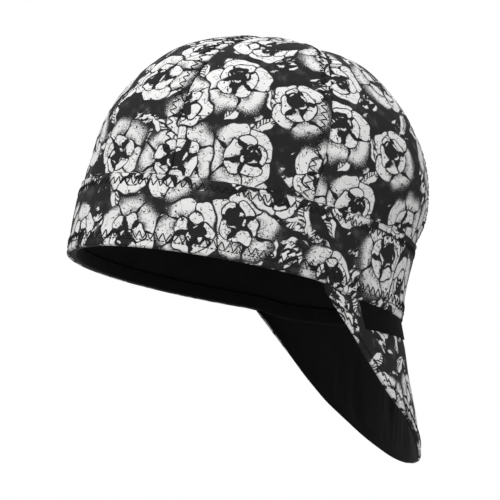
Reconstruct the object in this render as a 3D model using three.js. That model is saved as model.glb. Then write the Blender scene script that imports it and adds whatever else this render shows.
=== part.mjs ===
// A soft welding cap: six crown panels sewn into a dome, a band over their lower edge,
// a black lining, and a long flap that hangs from the back of the rim over the neck.
// Millimetres. Z is up, the front of the cap looks along -Y, the wearer's left is +X.
// The origin is the middle of the rim, in the plane where the cap sits on the head.
import * as THREE from "three";

// Driving sizes
const RIM_LENGTH = 202; // front to back over the crown cloth at the rim
const RIM_WIDTH = 166; // side to side over the crown cloth at the rim
const CROWN_HEIGHT = 148; // rim to the top of the dome
const BAND_HEIGHT = 42.5; // rim to the band's upper edge
const FLAP_SPREAD = 67.5; // degrees that the flap takes to each side of the back
const FLAP_DROP = 78.5; // the flap's seam to its tip, straight down
const FLAP_REACH = 26; // how far the tip stands out behind the rim
const RIM_DIP = 4; // how far the rim hangs lower where it carries the flap
const HEM_HEIGHT = 8; // facing sewn inside the rim
const LABEL_LENGTH = 62;
const LABEL_HEIGHT = 15.5;
const LABEL_TURN = 53; // degrees from the back to the label's forward end

// Thickness of each layer and the clearance between layers
const CLOTH = 1.4;
const BAND_CLOTH = 1.2;
const LINING_CLOTH = 1.0;
const FACING_CLOTH = 1.0;
const LABEL_CLOTH = 1.0;
const ROLL = 1.2; // the band's lower edge, rolled under the rim
const CLEARANCE = 0.3;

// How the crown and the flap are cut
const PUFF = 2.2; // how far a panel's middle stands out between its seams
const TIP_HOLE = 1.5; // radius left where the six tips meet
const DIP_FROM = 72; // degrees from the back where the rim begins to dip
const DIP_FULL = 52; // and where it has dipped in full
const DIP_UP = 0.2; // share of the way up the crown where nothing is left of the dip
const FLAP_SETTLE = 15; // length below the rim over which the flap's layers take its slope

// Steps of the faceted surfaces
const PANEL_COLUMNS = 10;
const CROWN_ROWS = 14;
const BAND_ROWS = 3;
const FLAP_COLUMNS = 28;
const FLAP_ROWS = 7;

// The six panels, counter-clockwise from above, each with the seam where it starts, in
// degrees from the wearer's left towards the back: at the top and down at the band.
const PANELS = [
  { place: "rear_left", top: 16, band: 14 },
  { place: "rear_right", top: 78, band: 77 },
  { place: "right", top: 140, band: 139 },
  { place: "front_right", top: 195, band: 195 },
  { place: "front_left", top: 258, band: 260 },
  { place: "left", top: 320.5, band: 324.5 },
];

// Sections of the dome from the rim to the top. way is the share of the way up the cloth,
// up is a share of the crown height, centre, front and back are shares of half the length,
// with front and back measured from the centre, and side is a share of half the width.
const CROWN_SECTIONS = [
  { way: 0.0, up: 0.0, centre: -0.08, front: 0.912, back: 1.075, side: 1.0 },
  { way: 0.1, up: 0.147, centre: -0.08, front: 0.912, back: 1.073, side: 1.006 },
  { way: 0.2, up: 0.293, centre: -0.08, front: 0.905, back: 1.096, side: 1.006 },
  { way: 0.265, up: 0.387, centre: -0.08, front: 0.888, back: 1.13, side: 1.0 },
  { way: 0.34, up: 0.493, centre: -0.07, front: 0.878, back: 1.112, side: 0.978 },
  { way: 0.415, up: 0.6, centre: -0.06, front: 0.841, back: 1.066, side: 0.936 },
  { way: 0.484, up: 0.693, centre: -0.05, front: 0.787, back: 0.998, side: 0.876 },
  { way: 0.548, up: 0.773, centre: -0.03, front: 0.732, back: 0.903, side: 0.803 },
  { way: 0.62, up: 0.853, centre: 0.0, front: 0.658, back: 0.765, side: 0.7 },
  { way: 0.685, up: 0.907, centre: 0.03, front: 0.575, back: 0.65, side: 0.603 },
  { way: 0.757, up: 0.953, centre: 0.05, front: 0.44, back: 0.53, side: 0.48 },
  { way: 0.828, up: 0.98, centre: 0.06, front: 0.29, back: 0.39, side: 0.34 },
  { way: 0.911, up: 0.995, centre: 0.07, front: 0.15, back: 0.21, side: 0.18 },
  { way: 1.0, up: 1.0, centre: 0.07, front: 0.0, back: 0.0, side: 0.0 },
];
const FRONT_SQUARENESS = 2.1; // exponent of the section's front half, 2 is an ellipse
const BACK_SQUARENESS = 1.95;
const PUFF_FROM = 0.21; // share of the way up where the panels begin to puff
const PUFF_FULL = 0.4; // and where they puff in full
const PUFF_LESS = 0.86; // where the puff fades towards the dimple at the top
const SEAMS_LOW = 0.2; // share of the way up to which the seams keep their turn at the band
const SEAMS_HIGH = 0.5; // and from where they keep their turn at the top

// The flap's free edge. turn is a share of the flap's spread, measured from the back;
// side and back are shares of the flap's reach, drop is a share of its drop.
const FLAP_EDGE = [
  { turn: 0, side: 0, back: 0.98, drop: 1 },
  { turn: 0.12, side: 0.07, back: 0.965, drop: 0.99 },
  { turn: 0.25, side: 0.12, back: 0.95, drop: 0.949 },
  { turn: 0.39, side: 0.23, back: 0.865, drop: 0.853 },
  { turn: 0.54, side: 0.16, back: 0.86, drop: 0.747 },
  { turn: 0.7, side: 0.0, back: 0.78, drop: 0.6 },
  { turn: 0.78, side: -0.02, back: 0.61, drop: 0.46 },
  { turn: 0.86, side: -0.05, back: 0.43, drop: 0.31 },
  { turn: 0.94, side: -0.13, back: 0.25, drop: 0.17 },
  { turn: 1, side: -0.15, back: 0.1, drop: 0.05 },
];

const COTTON = { color: 0x6d6d6f, roughness: 0.92, metalness: 0 };
const BLACK_COTTON = { color: 0x0e0e10, roughness: 0.95, metalness: 0 };
const WOVEN_TAPE = { color: 0x141416, roughness: 0.6, metalness: 0 };

const UP = new THREE.Vector3(0, 0, 1);
const DEGREE = Math.PI / 180;

// A smooth curve through one column of a table, read at a value of its first column.
function readTable(table, key, column, value) {
  const last = table.length - 2;
  let row = table.findIndex((entry) => entry[key] > value) - 1;
  if (row < 0) row = value < table[0][key] ? 0 : last;
  const at = (index) => table[Math.min(Math.max(index, 0), last + 1)];
  const slope = (index) => {
    const before = at(index - 1);
    const after = at(index + 1);
    return (after[column] - before[column]) / (after[key] - before[key]);
  };
  const span = at(row + 1)[key] - at(row)[key];
  const share = THREE.MathUtils.clamp((value - at(row)[key]) / span, 0, 1);
  const square = share * share;
  const cube = square * share;
  return (
    at(row)[column] * (2 * cube - 3 * square + 1) +
    at(row + 1)[column] * (3 * square - 2 * cube) +
    slope(row) * span * (cube - 2 * square + share) +
    slope(row + 1) * span * (cube - square)
  );
}

function section(column, way) {
  return readTable(CROWN_SECTIONS, "way", column, way);
}

// The share of the way up the cloth at which the dome reaches a height.
function wayAt(height) {
  let low = 0;
  let high = 1;
  for (let step = 0; step < 40; step++) {
    const middle = (low + high) / 2;
    if (section("up", middle) * CROWN_HEIGHT < height) low = middle;
    else high = middle;
  }
  return low;
}

function signedPower(value, exponent) {
  return Math.sign(value) * Math.abs(value) ** exponent;
}

// How far the rim's dip lowers the wall at a turn and a share of the way up.
function dip(turn, way) {
  const fromBack = Math.abs(THREE.MathUtils.euclideanModulo(turn + 90, 360) - 180);
  const share = 1 - THREE.MathUtils.smoothstep(fromBack, DIP_FULL, DIP_FROM);
  return RIM_DIP * share * Math.max(1 - way / DIP_UP, 0);
}

// The dome without its puffed panels. turn is in degrees, from +X towards the back.
function domePoint(turn, way) {
  const sine = Math.sin(turn * DEGREE);
  const cosine = Math.cos(turn * DEGREE);
  const squareness = sine < 0 ? FRONT_SQUARENESS : BACK_SQUARENESS;
  const reach = sine < 0 ? section("front", way) : section("back", way);
  return new THREE.Vector3(
    (RIM_WIDTH / 2) * section("side", way) * signedPower(cosine, 2 / squareness),
    (RIM_LENGTH / 2) * (section("centre", way) + reach * signedPower(sine, 2 / squareness)),
    CROWN_HEIGHT * section("up", way) - dip(turn, way),
  );
}

function domeNormal(turn, way) {
  const turnStep = 1.5;
  const wayStep = 0.01;
  if (way > 1 - wayStep) return UP.clone();
  const around = domePoint(turn + turnStep, way).sub(domePoint(turn - turnStep, way));
  const low = Math.max(way - wayStep, 0);
  const along = domePoint(turn, way + wayStep).sub(domePoint(turn, low));
  return around.cross(along).normalize();
}

// The turn of a seam at a share of the way up. Seam 6 is the first one again, a full turn on.
function seamTurn(index, way) {
  const { top, band } = PANELS[index % PANELS.length];
  const full = 360 * Math.floor(index / PANELS.length);
  return full + mix(band, top, THREE.MathUtils.smoothstep(way, SEAMS_LOW, SEAMS_HIGH));
}

// The turn at a share of the way across one panel.
function panelTurn(index, across, way) {
  return mix(seamTurn(index, way), seamTurn(index + 1, way), across);
}

// The panel and the share of the way across it for a share of the way round the crown.
function panelAt(around) {
  const index = Math.floor(around * PANELS.length);
  return { index, across: around * PANELS.length - index };
}

// The turn for a share of the way round the rim, in step with the panels above it.
function rimTurn(around) {
  const { index, across } = panelAt(around);
  return panelTurn(index, across, 0);
}

// How far the puffed panel stands out at a share of the way across it.
function puff(across, way) {
  const rise = THREE.MathUtils.smoothstep(way, PUFF_FROM, PUFF_FULL);
  const fade = 1 - THREE.MathUtils.smoothstep(way, PUFF_LESS, 1);
  return PUFF * rise * fade * (1 - Math.abs(2 * across - 1) ** 2.5);
}

// A point on one panel of the crown, depth millimetres inside the face of its outer cloth.
function crownPoint(index, across, way, depth) {
  const turn = panelTurn(index, across, way);
  return domePoint(turn, way).addScaledVector(domeNormal(turn, way), puff(across, way) - depth);
}

// A point on the wall round the rim, by height: the layers lie side by side there.
function wallPoint(turn, height, depth) {
  const way = wayAt(height);
  const outward = domeNormal(turn, way).setZ(0).normalize();
  return domePoint(turn, way)
    .addScaledVector(outward, -depth)
    .setZ(height - dip(turn, way));
}

// How deep each layer starts inside the face of the crown cloth.
const LINING_DEPTH = CLOTH + CLEARANCE;
const FACING_DEPTH = LINING_DEPTH + LINING_CLOTH + CLEARANCE;
const INNER_DEPTH = FACING_DEPTH + FACING_CLOTH;
const LAYERS_START = ROLL + CLEARANCE; // the layers stand on the rolled edge

// The flap's outer face. across runs from -1 to 1 over its spread, down from 0 at the rim
// to 1 at its free edge.
function flapFace(across, down) {
  const turn = Math.abs(across);
  const start = wallPoint(90 - across * FLAP_SPREAD, 0, -CLEARANCE);
  const side = Math.sign(across) * FLAP_REACH * readTable(FLAP_EDGE, "turn", "side", turn);
  const back = FLAP_REACH * readTable(FLAP_EDGE, "turn", "back", turn);
  const drop = FLAP_DROP * readTable(FLAP_EDGE, "turn", "drop", turn);
  return start.add(new THREE.Vector3(side * down, back * down, -CLEARANCE - drop * down));
}

// The length of the flap from the rim to its edge.
function flapLength(across) {
  return flapFace(across, 1).distanceTo(flapFace(across, 0));
}

// A point depth millimetres inside the flap's outer face. At the rim the layers lie side by
// side, so their upper edges are level.
function flapPoint(across, down, depth) {
  const step = 0.02;
  const along = flapFace(across, down - step).sub(flapFace(across, down + step));
  const around = flapFace(across - step, down).sub(flapFace(across + step, down));
  const outward = around.cross(along).normalize();
  outward.z *= THREE.MathUtils.smoothstep(down * flapLength(across), 0, FLAP_SETTLE);
  return flapFace(across, down).addScaledVector(outward.normalize(), -depth);
}

// A closed mesh from a grid of points: at(i, j) gives the corner, corners in one place are
// one vertex, and faces that shrink to nothing are left out.
class Shell {
  constructor() {
    this.corners = [];
    this.found = new Map();
    this.faces = [];
  }

  corner(point) {
    const key = point.toArray().map((value) => Math.round(value * 1000)).join(" ");
    if (!this.found.has(key)) {
      this.found.set(key, this.corners.length);
      this.corners.push(point);
    }
    return this.found.get(key);
  }

  triangle(a, b, c) {
    if (a !== b && b !== c && c !== a) this.faces.push([a, b, c]);
  }

  quad(a, b, c, d) {
    this.triangle(a, b, c);
    this.triangle(a, c, d);
  }

  geometry() {
    const volume = this.faces.reduce((sum, [a, b, c]) => {
      const [first, second, third] = [a, b, c].map((index) => this.corners[index]);
      return sum + first.dot(second.clone().cross(third));
    }, 0);
    const faces = volume < 0 ? this.faces.map(([a, b, c]) => [a, c, b]) : this.faces;
    const made = new THREE.BufferGeometry().setFromPoints(this.corners);
    made.setIndex(faces.flat());
    made.computeVertexNormals();
    return made;
  }
}

// A cloth wall: at(across, along, face) is a point for across and along from 0 to 1, on
// face 0, the outer one, or face 1. ring joins the wall's two ends.
function clothWall(columns, rows, at, ring) {
  const shell = new Shell();
  const corner = (i, j, face) => shell.corner(at((ring ? i % columns : i) / columns, j / rows, face));
  for (let i = 0; i < columns; i++) {
    for (let j = 0; j < rows; j++) {
      shell.quad(corner(i, j, 0), corner(i + 1, j, 0), corner(i + 1, j + 1, 0), corner(i, j + 1, 0));
      shell.quad(corner(i, j, 1), corner(i, j + 1, 1), corner(i + 1, j + 1, 1), corner(i + 1, j, 1));
    }
    shell.quad(corner(i, 0, 1), corner(i + 1, 0, 1), corner(i + 1, 0, 0), corner(i, 0, 0));
    shell.quad(corner(i, rows, 0), corner(i + 1, rows, 0), corner(i + 1, rows, 1), corner(i, rows, 1));
  }
  const last = columns;
  for (let j = 0; j < rows && !ring; j++) {
    shell.quad(corner(0, j, 0), corner(0, j + 1, 0), corner(0, j + 1, 1), corner(0, j, 1));
    shell.quad(corner(last, j, 1), corner(last, j + 1, 1), corner(last, j + 1, 0), corner(last, j, 0));
  }
  return shell.geometry();
}

function mix(from, to, share) {
  return from + (to - from) * share;
}

// The share of the way up for a row of the crown, whose lowest rows are level with the band's.
function crownWay(along, bottom, top) {
  const underBand = BAND_ROWS / CROWN_ROWS;
  const bandTop = wayAt(BAND_HEIGHT);
  if (along < underBand) return mix(bottom, bandTop, along / underBand);
  return mix(bandTop, top, (along - underBand) / (1 - underBand));
}

// One crown panel, between two seams, from the rolled edge up to the top.
function crownPanel(index) {
  const bottom = wayAt(LAYERS_START);
  const { way: lastWay, side: lastSide } = CROWN_SECTIONS.at(-2);
  const top = 1 - (TIP_HOLE * (1 - lastWay)) / ((lastSide * RIM_WIDTH) / 2);
  return clothWall(PANEL_COLUMNS, CROWN_ROWS, (across, along, face) => {
    const way = crownWay(along, bottom, top);
    const radius = (RIM_WIDTH / 2) * section("side", way);
    const width = (seamTurn(index + 1, way) - seamTurn(index, way)) * DEGREE * radius;
    const seam = CLEARANCE / 2 / width;
    return crownPoint(index, mix(seam, 1 - seam, across), way, face * CLOTH);
  });
}

function crownLining() {
  const bottom = wayAt(LAYERS_START);
  return clothWall(
    PANELS.length * PANEL_COLUMNS,
    CROWN_ROWS,
    (across, along, face) => {
      const place = panelAt(across);
      const depth = LINING_DEPTH + face * LINING_CLOTH;
      return crownPoint(place.index, place.across, crownWay(along, bottom, 1), depth);
    },
    true,
  );
}

// The band: a wall over the crown whose lower edge is rolled under the rim to the inside.
function band() {
  const face = -CLEARANCE - BAND_CLOTH;
  const outline = [];
  for (let row = 0; row < BAND_ROWS; row++) {
    outline.push({ depth: face, height: mix(BAND_HEIGHT, ROLL, row / BAND_ROWS) });
  }
  outline.push({ depth: face, height: ROLL * 0.6 });
  outline.push({ depth: face + ROLL * 0.4, height: 0 });
  outline.push({ depth: INNER_DEPTH, height: 0 });
  outline.push({ depth: INNER_DEPTH + ROLL * 0.4, height: ROLL * 0.5 });
  outline.push({ depth: INNER_DEPTH, height: ROLL });
  outline.push({ depth: -CLEARANCE, height: ROLL });
  for (let row = 1; row <= BAND_ROWS; row++) {
    outline.push({ depth: -CLEARANCE, height: mix(ROLL, BAND_HEIGHT, row / BAND_ROWS) });
  }
  const shell = new Shell();
  const columns = PANELS.length * PANEL_COLUMNS;
  const corner = (i, k) => {
    const turn = rimTurn((i % columns) / columns);
    const { depth, height } = outline[k % outline.length];
    return shell.corner(wallPoint(turn, height, depth));
  };
  for (let i = 0; i < columns; i++) {
    for (let k = 0; k < outline.length; k++) {
      shell.quad(corner(i, k), corner(i, k + 1), corner(i + 1, k + 1), corner(i + 1, k));
    }
  }
  return shell.geometry();
}

function rimFacing() {
  return clothWall(
    PANELS.length * PANEL_COLUMNS,
    1,
    (across, along, face) => {
      const height = mix(LAYERS_START, LAYERS_START + HEM_HEIGHT, along);
      return wallPoint(rimTurn(across), height, FACING_DEPTH + face * FACING_CLOTH);
    },
    true,
  );
}

function flapLayer(depth, thickness) {
  return clothWall(FLAP_COLUMNS, FLAP_ROWS, (across, along, face) =>
    flapPoint(mix(-1, 1, across), along, depth + face * thickness),
  );
}

// The label hangs over the flap from the rim seam, on the wearer's left.
function label() {
  const forward = LABEL_TURN / FLAP_SPREAD;
  const columns = 8;
  const rows = 2;
  const perShare = flapFace(forward, 0).distanceTo(flapFace(forward - 0.1, 0)) / 0.1;
  const rearward = forward - LABEL_LENGTH / perShare;
  return clothWall(columns, rows, (across, along, face) => {
    const place = mix(forward, rearward, across);
    const down = (along * LABEL_HEIGHT) / flapLength(place);
    return flapPoint(place, down, -CLEARANCE - LABEL_CLOTH + face * LABEL_CLOTH);
  });
}

function piece(name, geometry, finish) {
  const mesh = new THREE.Mesh(geometry, new THREE.MeshStandardMaterial(finish));
  mesh.name = name;
  return mesh;
}

const cap = new THREE.Group();
PANELS.forEach(({ place }, index) => {
  cap.add(piece("crown_panel_" + place, crownPanel(index), COTTON));
});
cap.add(piece("band", band(), COTTON));
cap.add(piece("crown_lining", crownLining(), BLACK_COTTON));
cap.add(piece("rim_facing", rimFacing(), BLACK_COTTON));
cap.add(piece("flap", flapLayer(0, CLOTH), COTTON));
cap.add(piece("flap_lining", flapLayer(CLOTH + CLEARANCE, LINING_CLOTH), BLACK_COTTON));
cap.add(piece("label", label(), WOVEN_TAPE));

export default cap;
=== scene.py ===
"""A soft welding cap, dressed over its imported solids. Lengths in this script are millimetres
until a mesh, a light or the camera is made; +Z is up, the front of the cap looks along -Y
and the wearer's left is +X, as in the frame."""

import math

import bpy
import numpy as np
from bpy.props import FloatProperty, FloatVectorProperty, IntProperty, PointerProperty
from bpy.types import Operator, Panel, PropertyGroup
from mathutils import Matrix, Vector


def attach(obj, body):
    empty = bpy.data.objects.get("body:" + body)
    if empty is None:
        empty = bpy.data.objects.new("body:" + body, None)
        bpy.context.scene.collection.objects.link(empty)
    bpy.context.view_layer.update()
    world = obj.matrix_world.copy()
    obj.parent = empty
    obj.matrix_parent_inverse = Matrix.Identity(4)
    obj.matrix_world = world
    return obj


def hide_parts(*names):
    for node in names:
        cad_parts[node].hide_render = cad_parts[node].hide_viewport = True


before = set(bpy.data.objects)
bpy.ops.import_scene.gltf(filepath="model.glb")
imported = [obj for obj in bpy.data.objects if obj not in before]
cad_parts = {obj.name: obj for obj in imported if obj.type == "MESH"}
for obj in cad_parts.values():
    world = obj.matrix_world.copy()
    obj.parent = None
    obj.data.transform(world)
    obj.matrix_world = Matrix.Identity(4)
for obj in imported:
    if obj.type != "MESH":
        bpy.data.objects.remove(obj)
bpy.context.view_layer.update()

bl_info = {
    "name": "Welding cap",
    "version": (1, 0, 0),
    "blender": (4, 5, 0),
    "location": "3D View > Sidebar > Cap",
    "description": "Builds a printed cotton welding cap with its lining, stitching and label",
    "category": "Object",
}

MM = 0.001
DEGREE = math.pi / 180
BODY = "root"

# The cap's own sizes, the same as its solids have
RIM_LENGTH, RIM_WIDTH, CROWN_HEIGHT = 202.0, 166.0, 148.0
BAND_HEIGHT, HEM_HEIGHT = 42.5, 8.0
FLAP_SPREAD, FLAP_DROP, FLAP_REACH = 67.5, 78.5, 26.0
RIM_DIP, DIP_FROM, DIP_FULL, DIP_UP = 4.0, 72.0, 52.0, 0.2
LABEL_LENGTH, LABEL_HEIGHT, LABEL_TURN = 62.0, 15.5, 53.0
CLOTH, BAND_CLOTH, LINING_CLOTH, FACING_CLOTH = 1.4, 1.2, 1.0, 1.0
ROLL, CLEARANCE, PUFF = 1.2, 0.3, 2.2
FLAP_SETTLE = 15.0
FRONT_SQUARENESS, BACK_SQUARENESS = 2.1, 1.95
PUFF_FROM, PUFF_FULL, PUFF_LESS = 0.21, 0.4, 0.86
SEAMS_LOW, SEAMS_HIGH = 0.2, 0.5
LINING_DEPTH = CLOTH + CLEARANCE
FACING_DEPTH = LINING_DEPTH + LINING_CLOTH + CLEARANCE
INNER_DEPTH = FACING_DEPTH + FACING_CLOTH
LAYERS_START = ROLL + CLEARANCE
APEX = 0.9985  # the way at which the crown's cloth ends
BACK, BACK_AGAIN = 90.0, 450.0  # a full turn round the rim, from the back to the back
FLAP_HALF = 118.0  # half the flap's run along the rim

# The relief of the crown's cloth: how far it sinks along a seam, towards the top and under
# the band, where it stops, and how far a panel's inner face follows it before the lining
SEAM_SINK, TOP_SINK, BAND_SINK, DEEPEST_SINK, DEEPEST_FACE = 0.75, 1.5, 0.3, 2.0, 2.2
LINING_ROOM = 1.1

# The flap's lining: its hidden face and its seen face, as depths under the flap's outer face
FLAP_LINING_BACK, FLAP_LINING_FACE = 1.55, 2.75
# The label: half its thickness, and how much more of its front and less of its rear end
# shows, because it is sewn in at a slant
LABEL_HALF, LABEL_FRONT_MORE, LABEL_REAR_LESS = 0.3, 1.4, 3.6

# The rows of stitches: their two heights on the band, or distances from a seam or an edge
BAND_TOP_ROW = (BAND_HEIGHT - 7.2, BAND_HEIGHT - 2.7)
BAND_FOOT_ROW, SEAM_ROW, FLAP_ROW = (4.7, 9.3), (3.0, 7.0), (4.0, 8.0)
BAND_LINE, FACING_LINE = 4.4, LAYERS_START + HEM_HEIGHT - 1.8
BAND_WOBBLE, SEAM_WOBBLE, LINE_WOBBLE = 0.12, 0.14, 0.05

# The rim's rolled edges as depths and heights: the band's, and the facing's underside
BAND_ROLL = (
    (-0.3, 0.0), (0.05, 0.08), (0.3, 0.32), (0.44, 0.72), (0.6, 1.02), (1.2, 1.1),
    (3.0, 1.12), (3.6, 1.16), (2.0, ROLL), (-CLEARANCE, ROLL),
)
FACING_UNDERSIDE = (
    (3.95, 1.45), (3.8, 1.1), (3.4, 0.8), (2.8, 0.65), (1.9, 0.6), (1.1, 0.6),
    (0.76, 0.64), (0.62, 0.8), (0.76, 0.97), (1.3, 1.02), (2.8, 1.04), (3.1, 1.3),
)

# The camera: its turn from the wearer's left towards the front, its rise and its roll in
# degrees, its distance in metres, and the frame's shift
CAMERA_TURN, CAMERA_RISE, CAMERA_ROLL, CAMERA_AWAY = 12.2, -8.9, -9.9, 1.1
CAMERA_SHIFT = (0.028, 0.072)
# The lamps: name, how far towards the camera, to its right and up, and size, in metres
LAMPS = (
    ("key", 1.1, -0.9, 1.35, 1.3),
    ("fill", 1.0, 1.2, 0.5, 1.4),
    ("crown", -0.9, 0.0, 1.3, 1.4),
)
FLOOR_REACH, BOWL_REACH = 9.0, 8.9

# The six panels: place, and the turn in degrees of the seam where each starts, at the top
# and at the band
PANELS = (
    ("rear_left", 16.0, 14.0),
    ("rear_right", 78.0, 77.0),
    ("right", 140.0, 139.0),
    ("front_right", 195.0, 195.0),
    ("front_left", 258.0, 260.0),
    ("left", 320.5, 324.5),
)
# Where each printed piece is cut from the printed length, as seeds; light blossoms lie
# under the seams that the camera sees
PANEL_LAYS = (627, 61, 62, 63, 208, 594)
BAND_LAY, FLAP_LAY = 270, 550
LINING_LAY, FACING_LAY, FLAP_LINING_LAY = 80, 82, 93

SECTION_COLUMNS = ("way", "up", "centre", "front", "back", "side")
CROWN_SECTIONS = np.array(
    (
        (0.0, 0.0, -0.08, 0.912, 1.075, 1.0),
        (0.1, 0.147, -0.08, 0.912, 1.073, 1.006),
        (0.2, 0.293, -0.08, 0.905, 1.096, 1.006),
        (0.265, 0.387, -0.08, 0.888, 1.13, 1.0),
        (0.34, 0.493, -0.07, 0.878, 1.112, 0.978),
        (0.415, 0.6, -0.06, 0.841, 1.066, 0.936),
        (0.484, 0.693, -0.05, 0.787, 0.998, 0.876),
        (0.548, 0.773, -0.03, 0.732, 0.903, 0.803),
        (0.62, 0.853, 0.0, 0.658, 0.765, 0.7),
        (0.685, 0.907, 0.03, 0.575, 0.65, 0.603),
        (0.757, 0.953, 0.05, 0.44, 0.53, 0.48),
        (0.828, 0.98, 0.06, 0.29, 0.39, 0.34),
        (0.911, 0.995, 0.07, 0.15, 0.21, 0.18),
        (1.0, 1.0, 0.07, 0.0, 0.0, 0.0),
    )
)
EDGE_COLUMNS = ("turn", "side", "back", "drop")
FLAP_EDGE = np.array(
    (
        (0.0, 0.0, 0.98, 1.0),
        (0.12, 0.07, 0.965, 0.99),
        (0.25, 0.12, 0.95, 0.949),
        (0.39, 0.23, 0.865, 0.853),
        (0.54, 0.16, 0.86, 0.747),
        (0.7, 0.0, 0.78, 0.6),
        (0.78, -0.02, 0.61, 0.46),
        (0.86, -0.05, 0.43, 0.31),
        (0.94, -0.13, 0.25, 0.17),
        (1.0, -0.15, 0.1, 0.05),
    )
)


# ---- the cap's surfaces


def mix(start, end, share):
    return start + (end - start) * share


def smoothstep(value, low, high):
    share = np.clip((value - low) / (high - low), 0, 1)
    return share * share * (3 - 2 * share)


def read_table(table, column, value):
    """A smooth curve through one column of a table, read at values of its first column."""
    value = np.asarray(value, float)
    keys, data = table[:, 0], table[:, column]
    last = len(keys) - 2
    row = np.clip(np.searchsorted(keys, value, side="right") - 1, 0, last)
    before, after = np.arange(-1, last + 1), np.arange(1, last + 3)
    before, after = np.maximum(before, 0), np.minimum(after, last + 1)
    slope = (data[after] - data[before]) / (keys[after] - keys[before])
    span = keys[row + 1] - keys[row]
    share = np.clip((value - keys[row]) / span, 0, 1)
    square, cube = share**2, share**3
    return (
        data[row] * (2 * cube - 3 * square + 1)
        + data[row + 1] * (3 * square - 2 * cube)
        + slope[row] * span * (cube - 2 * square + share)
        + slope[row + 1] * span * (cube - square)
    )


def section(column, way):
    return read_table(CROWN_SECTIONS, SECTION_COLUMNS.index(column), way)


def way_at(height):
    """The share of the way up the cloth at which the dome reaches a height."""
    low, high = np.zeros(np.shape(height)), np.ones(np.shape(height))
    for _ in range(40):
        middle = (low + high) / 2
        below = section("up", middle) * CROWN_HEIGHT < height
        low, high = np.where(below, middle, low), np.where(below, high, middle)
    return low


def dip(turn, way):
    """How far the rim's dip lowers the wall."""
    from_back = np.abs(np.mod(turn + 90, 360) - 180)
    share = 1 - smoothstep(from_back, DIP_FULL, DIP_FROM)
    return RIM_DIP * share * np.maximum(1 - way / DIP_UP, 0)


def dome(turn, way):
    """Points of the crown without its puffed panels."""
    turn, way = np.broadcast_arrays(np.asarray(turn, float), np.asarray(way, float))
    sine, cosine = np.sin(turn * DEGREE), np.cos(turn * DEGREE)
    front = sine < 0
    power = 2 / np.where(front, FRONT_SQUARENESS, BACK_SQUARENESS)
    reach = np.where(front, section("front", way), section("back", way))
    x = RIM_WIDTH / 2 * section("side", way) * np.sign(cosine) * np.abs(cosine) ** power
    y = section("centre", way) + reach * np.sign(sine) * np.abs(sine) ** power
    z = CROWN_HEIGHT * section("up", way) - dip(turn, way)
    return np.stack((x, RIM_LENGTH / 2 * y, z), -1)


def unit(vectors):
    return vectors / np.maximum(np.linalg.norm(vectors, axis=-1, keepdims=True), 1e-9)


def dome_normal(turn, way):
    turn, way = np.broadcast_arrays(np.asarray(turn, float), np.asarray(way, float))
    around = dome(turn + 1.5, way) - dome(turn - 1.5, way)
    along = dome(turn, way + 0.01) - dome(turn, np.maximum(way - 0.01, 0))
    normal = unit(np.cross(around, along))
    return np.where((way > 0.99)[..., None], np.array((0.0, 0.0, 1.0)), normal)


def seam_turn(index, way):
    _, top, band = PANELS[index % len(PANELS)]
    full = 360 * (index // len(PANELS))
    return full + mix(band, top, smoothstep(way, SEAMS_LOW, SEAMS_HIGH))


def panel_turn(index, across, way):
    return mix(seam_turn(index, way), seam_turn(index + 1, way), across)


def puff(across, way):
    rise = smoothstep(way, PUFF_FROM, PUFF_FULL)
    fade = 1 - smoothstep(way, PUFF_LESS, 1)
    return PUFF * rise * fade * (1 - np.abs(2 * across - 1) ** 2.5)


def crown_point(index, across, way, depth):
    turn = panel_turn(index, across, way)
    stand = puff(across, way) - depth
    return dome(turn, way) + dome_normal(turn, way) * np.expand_dims(stand, -1)


def wall_point(turn, height, depth):
    """A point on the wall round the rim, where the layers lie side by side."""
    turn, height, depth = np.broadcast_arrays(turn, height, depth)
    way = way_at(np.maximum(height, 0))
    outward = dome_normal(turn, way)
    outward = unit(outward * np.array((1.0, 1.0, 0.0)))
    point = dome(turn, way) - outward * depth[..., None]
    point[..., 2] = height - dip(turn, way)
    return point


def flap_face(across, down):
    """The flap's outer face: across from -1 to 1, down from 0 at the rim to 1 at its edge."""
    across, down = np.broadcast_arrays(np.asarray(across, float), np.asarray(down, float))
    turn, sign = np.abs(across), np.sign(across)
    edge = {name: read_table(FLAP_EDGE, k, turn) for k, name in enumerate(EDGE_COLUMNS)}
    start = wall_point(90 - across * FLAP_SPREAD, np.zeros_like(across), -CLEARANCE)
    hang = np.stack(
        (
            sign * FLAP_REACH * edge["side"] * down,
            FLAP_REACH * edge["back"] * down,
            -CLEARANCE - FLAP_DROP * edge["drop"] * down,
        ),
        -1,
    )
    return start + hang


def flap_length(across):
    return np.linalg.norm(flap_face(across, 1.0) - flap_face(across, 0.0), axis=-1)


def flap_point(across, down, depth):
    along = flap_face(across, down - 0.02) - flap_face(across, down + 0.02)
    around = flap_face(across - 0.02, down) - flap_face(across + 0.02, down)
    outward = unit(np.cross(around, along))
    outward[..., 2] *= smoothstep(down * flap_length(across), 0, FLAP_SETTLE)
    return flap_face(across, down) - unit(outward) * np.expand_dims(depth, -1)


def ripple(x, y, wavelength, seed):
    """A soft uneven swell from -1 to 1, the same each run."""
    draw = np.random.default_rng(seed)
    total = 0
    for _ in range(7):
        angle, phase = draw.uniform(0, 2 * math.pi, 2)
        pitch = wavelength * draw.uniform(0.7, 1.5)
        along = x * math.cos(angle) + y * math.sin(angle)
        total = total + np.sin(2 * math.pi * along / pitch + phase)
    return total / 4


def puckers(along, place, pitch, sway, wavelength, seed):
    """Waves from -1 to 1 along a seam, whose crests sway with a ripple."""
    return np.sin(2 * math.pi * along / pitch + sway * ripple(*place, wavelength, seed))


def bell(value, middle, width):
    return np.exp(-(((value - middle) / width) ** 2))


# ---- meshes


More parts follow.
